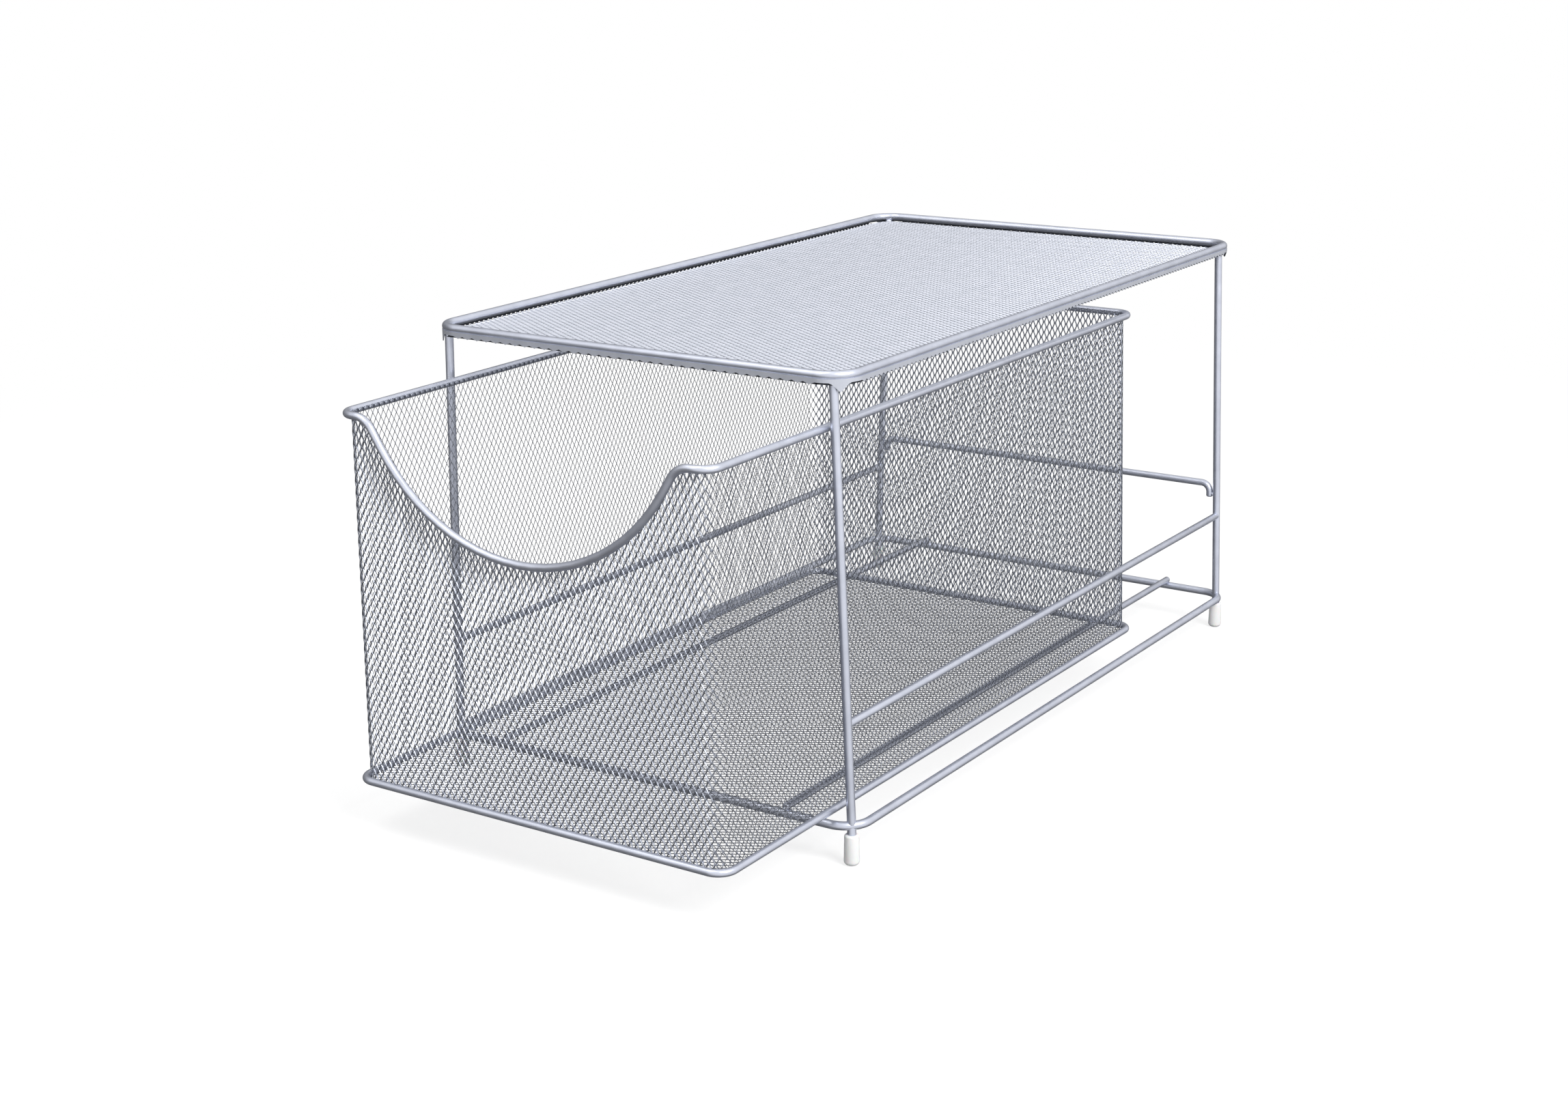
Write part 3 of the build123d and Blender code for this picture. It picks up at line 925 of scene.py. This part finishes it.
@dataclass
class Drawer:
    """The drawer: two rims of bent wire, and walls and a floor of expanded metal between them."""

    rim: RoundWire = RoundWire(4.0 * MM)
    rim_bend: float = 9 * MM
    shift: float = 3.8 * MM
    wall_low: float = 28.45 * MM
    wall_high: float = 220.45 * MM
    front: float = -266.9 * MM
    rear_low: float = 155.9 * MM
    rear_lean: float = 3.42 * MM
    half_low: float = 111.4 * MM
    side_lean: float = 3.42 * MM
    bend: float = 6.9 * MM
    thickness: float = 0.7 * MM
    scoop_half: float = 93 * MM
    scoop_depth: float = 60 * MM
    scoop_radius: float = 100 * MM
    scoop_shoulder: float = 12 * MM

    @property
    def scoop_lean(self) -> float:
        """Angle at which the scoop's bowl meets its shoulders."""
        side, rise = self.scoop_half, self.scoop_radius - self.scoop_depth
        return math.atan2(side, rise) - math.acos(self.scoop_radius / math.hypot(side, rise))

    def build_rims(self, metal: Material) -> None:
        """Build the two rims, the upper one dipping along the scoop.

        Args:
            metal: The finish of the wires.
        """
        radius = self.rim.diameter / 2
        low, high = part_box("drawer_top_rim")
        left, right, top = low.x + radius, high.x - radius, high.z - radius
        front, rear = low.y + radius, high.y - radius
        corners = [
            (left, rear, top), (left, front, top), (self.shift - self.scoop_half, front, top),
            (self.shift, front, top - self.scoop_half * math.tan(self.scoop_lean)),
            (self.shift + self.scoop_half, front, top), (right, front, top), (right, rear, top),
        ]
        ends = [self.rim_bend] * 2
        bends = ends + [self.scoop_shoulder, self.scoop_radius, self.scoop_shoulder] + ends
        lines = {
            "drawer_bottom_rim": ring_line("drawer_bottom_rim", radius, self.rim_bend),
            "drawer_top_rim": bent_line([Vector(corner) for corner in corners], bends),
        }
        for node, line in lines.items():
            mesh = self.rim.mesh(node, line, UP, True)
            hand_in(f"{node}_wire", mesh, metal, Body.DRAWER, Slot.WIRE, node)

    def scoop_line(self, x: np.ndarray) -> np.ndarray:
        """Height of the front wall's edge along the scoop.

        Args:
            x: Distances from the drawer's middle.

        Returns:
            The height of the edge at each of them.
        """
        x = np.abs(x)
        lean, top = self.scoop_lean, self.wall_high
        slope = top - (self.scoop_half - x) * math.tan(lean)
        dip = top - self.scoop_depth + self.scoop_radius
        bowl = dip - np.sqrt(np.maximum(self.scoop_radius**2 - x**2, 0))
        line = np.where(x < self.scoop_radius * math.sin(lean), bowl, slope)
        turn = self.scoop_half + self.scoop_shoulder * math.tan(lean / 2)
        rise = np.sqrt(np.maximum(self.scoop_shoulder**2 - (x - turn) ** 2, 0))
        shoulder = top - self.scoop_shoulder + rise
        line = np.where(x > turn - self.scoop_shoulder * math.sin(lean), shoulder, line)
        return np.where(x > turn, top, line)

    def spans(self) -> dict[Wall, Pair]:
        """Where each wall starts and ends along the sheet, measured round the foot of the drawer."""
        quarter = math.pi / 2 * (self.bend - self.thickness / 2)
        wide = 2 * (self.half_low - self.bend)
        deep = self.rear_low - self.front - 2 * self.bend
        ends = {}
        start = 0.0
        for wall in Wall:
            length = wide + 2 * quarter if wall in (Wall.FRONT, Wall.REAR) else deep
            ends[wall] = (start, start + length)
            start += length
        return ends

    def wrap(self, wall: Wall, run: np.ndarray, height: np.ndarray, out: np.ndarray) -> np.ndarray:
        """Bend points of the flat sheet round one wall.

        Args:
            wall: The wall.
            run: Distances from the wall's start.
            height: Heights above the floor.
            out: Distances out of the middle of the sheet.

        Returns:
            The points in space.
        """
        rise = (height - self.wall_low) / (self.wall_high - self.wall_low)
        inset = self.thickness / 2
        half = self.half_low - self.side_lean * rise - inset
        rear = self.rear_low - self.rear_lean * rise - inset
        front = self.front + inset
        radius = self.bend - inset
        quarter = math.pi / 2 * radius
        start, end = self.spans()[wall]
        length = end - start
        middle_y = (front + rear) / 2
        if wall in (Wall.RIGHT, Wall.LEFT):
            sign = 1 if wall is Wall.RIGHT else -1
            share = run / length
            deep = rear - front - 2 * radius
            along = front + radius + deep * (share if sign > 0 else 1 - share)
            return np.column_stack((self.shift + sign * (half + out), along, height))
        sign = -1 if wall is Wall.FRONT else 1
        turn = np.clip((length / 2 - np.abs(run - length / 2)) / quarter, 0, 1) * math.pi / 2
        flat_share = np.clip((run - quarter) / (length - 2 * quarter), 0, 1) * 2 - 1
        side = np.where(run < length / 2, -1.0, 1.0)
        reach = radius + out
        across = flat_share * (half - radius) + side * reach * np.cos(turn)
        depth = (rear - front) / 2 - radius + reach * np.sin(turn)
        x = self.shift - sign * across
        return np.column_stack((x, middle_y + sign * depth, height))

    def build(self, sheet: ExpandedSheet, finish: Material) -> None:
        """Build the four walls and the floor.

        Args:
            sheet: The tree that fills a flat rectangle.
            finish: The sheet's copy of the silver coat, painted darker as painted shade.
        """
        tall = self.wall_high - self.wall_low
        for wall, (start, end) in self.spans().items():
            first = math.floor(start / sheet.cell.across) * sheet.cell.across
            bend = partial(self._bend_wall, wall=wall, shift=first - start, length=end - start)
            mesh = cut_sheet(sheet.flat(end - first, tall, Lean.INWARD), bend)
            node = f"drawer_mesh_{wall.value}"
            hand_in(f"drawer_sheet_{wall.value}", mesh, finish, Body.DRAWER, Slot.MESH, node)
        self._build_floor(sheet, finish)

    def _bend_wall(self, points: np.ndarray, wall: Wall, shift: float, length: float) -> Cut:
        """Cut the flat sheet to the wall's span and edge, and bend it round the wall."""
        run = points[:, 0] + shift
        height = points[:, 1] + self.wall_low
        out = points[:, 2].copy()
        edge = (run <= TOUCH) | (run >= length - TOUCH) | (height <= self.wall_low + TOUCH)
        run = np.clip(run, 0, length)
        height = np.maximum(height, self.wall_low)
        top = np.full(len(run), self.wall_high)
        if wall is Wall.FRONT:
            top = self.scoop_line(self.wrap(wall, run, height, out)[:, 0] - self.shift)
        edge |= height >= top - TOUCH
        height = np.minimum(height, top)
        out[edge] = 0.0
        return self.wrap(wall, run, height, out), edge

    def _build_floor(self, sheet: ExpandedSheet, finish: Material) -> None:
        """Build the floor, its openings lying across the drawer."""
        low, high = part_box("drawer_floor_mesh")
        middle = (low + high) / 2
        half = ((high.x - low.x) / 2, (high.y - low.y) / 2)

        def lay(flat: np.ndarray) -> Cut:
            """Lay the sheet at mid height of its node."""
            plan, rise, edge = laid_across(flat, half, self.bend)
            return np.column_stack((plan[:, 0] + middle.x, plan[:, 1] + middle.y, middle.z - rise)), edge

        mesh = cut_sheet(sheet.flat(2 * half[1], 2 * half[0], Lean.OUTWARD), lay)
        hand_in("drawer_sheet_floor", mesh, finish, Body.DRAWER, Slot.MESH, "drawer_floor_mesh")


@dataclass
class Studio:
    """Pale floor, soft lamps, a room that is brighter above and to the right, and the camera."""

    floor_size: float = 12.0
    floor_colour: str = "#9C9C9C"
    floor_glow: float = 0.72
    floor_fade: Pair = (0.45, 1.2)
    bright_side: Triple = (0.68, -0.28, 0.68)
    bright_from: Pair = (-0.5, 0.45)
    room_light: Pair = (0.5, 0.2)
    room_mirrored: Pair = (0.95, 0.12)
    lamp_target: Triple = (0.0, 0.0, 0.1)
    azimuth: float = 33.86
    elevation: float = 16.4
    roll: float = -0.79
    place: Triple = (0.69315, -1.07415, 0.4758)
    lens: float = 53.93
    nearest: float = 0.01

    def build(self) -> None:
        """Build the floor, the world, the lamps and the camera."""
        self._floor()
        self._world()
        self._lamp("Key", size=0.9, place=(1.65, -0.55, 1.5), power=36)
        self._lamp("Fill", size=1.6, place=(-1.2, -2.0, 1.4), power=4)
        self._lamp("Top", size=0.9, place=(-0.4, -0.9, 1.8), power=9)
        self._camera()

    def _share(self, tree: NodeTree, value: NodeSocket, span: Pair) -> NodeSocket:
        """Turn a value into a soft step from 0 to 1 across a span."""
        smooth = {"interpolation_type": "SMOOTHSTEP"}
        step = add_node(tree, "ShaderNodeMapRange", smooth, Value=value, From_Min=span[0], From_Max=span[1])
        return step.outputs["Result"]

    def _floor(self) -> None:
        """Lay a plain floor: white for the camera apart from a soft shadow, pale grey as it lights."""
        half = self.floor_size / 2
        mesh = bpy.data.meshes.new("floor")
        corners = [(-half, -half, 0), (half, -half, 0), (half, half, 0), (-half, half, 0)]
        mesh.from_pydata(corners, [], [(0, 1, 2, 3)])
        floor = add_object("floor", mesh)
        made = bpy.data.materials.new("Matte paper")
        made.use_nodes = True
        tree = made.node_tree
        tree.nodes.clear()
        place = add_node(tree, "ShaderNodeTexCoord").outputs["Object"]
        distance = add_node(tree, "ShaderNodeVectorMath", {"operation": "LENGTH"}, i0=place)
        path = add_node(tree, "ShaderNodeLightPath").outputs
        far = self._share(tree, distance.outputs["Value"], self.floor_fade)
        seen_far = add_math(tree, "MULTIPLY", path["Is Camera Ray"], far)
        lift = add_math(tree, "MULTIPLY", path["Is Camera Ray"], self.floor_glow)
        paper = add_node(tree, "ShaderNodeBsdfDiffuse", Color=linear_colour(self.floor_colour))
        glow = add_node(tree, "ShaderNodeEmission", Strength=lift)
        near = add_node(tree, "ShaderNodeAddShader", i0=paper.outputs[0], i1=glow.outputs[0])
        white = add_node(tree, "ShaderNodeEmission", Strength=1.0)
        clear = add_node(tree, "ShaderNodeBsdfTransparent")
        both = add_mix(tree, path["Is Glossy Ray"], add_mix(tree, seen_far, near, white), clear)
        add_node(tree, "ShaderNodeOutputMaterial", Surface=both.outputs[0])
        mesh.materials.append(made)

    def _world(self) -> None:
        """Light from all round, brighter on one side, with a white backdrop for the camera."""
        world = bpy.data.worlds.new("Soft studio")
        bpy.context.scene.world = world
        world.use_nodes = True
        tree = world.node_tree
        tree.nodes.clear()
        way = add_node(tree, "ShaderNodeTexCoord").outputs["Generated"]
        product = {"operation": "DOT_PRODUCT"}
        facing = add_node(tree, "ShaderNodeVectorMath", product, i0=way, i1=self.bright_side)
        share = self._share(tree, facing.outputs["Value"], self.bright_from)
        slopes = (self.room_light, self.room_mirrored)
        strengths = [add_math(tree, "MULTIPLY_ADD", share, *slope) for slope in slopes]
        soft, room, white = (
            add_node(tree, "ShaderNodeBackground", Color=linear_colour("#FFFFFF"), Strength=strength)
            for strength in (*strengths, 1.0)
        )
        path = add_node(tree, "ShaderNodeLightPath").outputs
        straight = add_math(tree, "MAXIMUM", path["Is Camera Ray"], path["Is Transmission Ray"])
        seen = add_mix(tree, straight, add_mix(tree, path["Is Glossy Ray"], soft, room), white)
        add_node(tree, "ShaderNodeOutputWorld", Surface=seen.outputs[0])

    def _lamp(self, name: str, size: float, place: Triple, power: float) -> None:
        """Hang a square soft lamp that points at the organizer.

        Args:
            name: The lamp's name.
            size: The side of its square.
            place: Where it hangs.
            power: Its power in watts.
        """
        light = bpy.data.lights.new(name, "AREA")
        light.size = size
        light.energy = power
        lamp = add_object(name, light)
        lamp.location = place
        lamp.rotation_euler = (Vector(self.lamp_target) - Vector(place)).to_track_quat("-Z", "Y").to_euler()

    def _camera(self) -> None:
        """Stand the camera where the photograph was taken from."""
        turn, dip, roll = (math.radians(a) for a in (self.azimuth, self.elevation, self.roll))
        look = Vector((-math.sin(turn) * math.cos(dip), math.cos(turn) * math.cos(dip), -math.sin(dip)))
        right = look.cross(UP).normalized()
        up = right.cross(look)
        right, up = right * math.cos(roll) + up * math.sin(roll), up * math.cos(roll) - right * math.sin(roll)
        data = bpy.data.cameras.new("camera")
        data.lens = self.lens
        data.clip_start = self.nearest
        camera = add_object("camera", data)
        turned = Matrix((right, up, -look)).transposed()
        camera.matrix_world = Matrix.Translation(self.place) @ turned.to_4x4()
        bpy.context.scene.camera = camera


def main() -> None:
    """Load the frame, build every sub-assembly in order and report each piece."""
    logging.basicConfig(level=logging.INFO, format="%(message)s")
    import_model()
    bpy.context.scene.view_settings.view_transform = "Standard"
    # Three copies of the silver coat carry painted light and shade: darker on the drawer, paler on the shelf,
    # dark under the rim.
    coats = (WIRE_COAT, SHADED_WALL_COAT, LIT_SHELF_COAT, PAINTED_SHADE_COAT, CAP_PLASTIC)
    wire_metal, shaded_wall_metal, lit_shelf_metal, painted_shade_metal, plastic = (coat.material() for coat in coats)
    welds = WireFrame(wire_metal, plastic).build()
    WeldBead().spread("weld_beads", welds, wire_metal, Body.FRAME)
    sheet = ExpandedSheet(ExpandedCell())
    Shelf().build(sheet, lit_shelf_metal, painted_shade_metal)
    drawer = Drawer()
    drawer.build_rims(wire_metal)
    drawer.build(sheet, shaded_wall_metal)
    Studio().build()


if __name__ == "__main__":
    main()
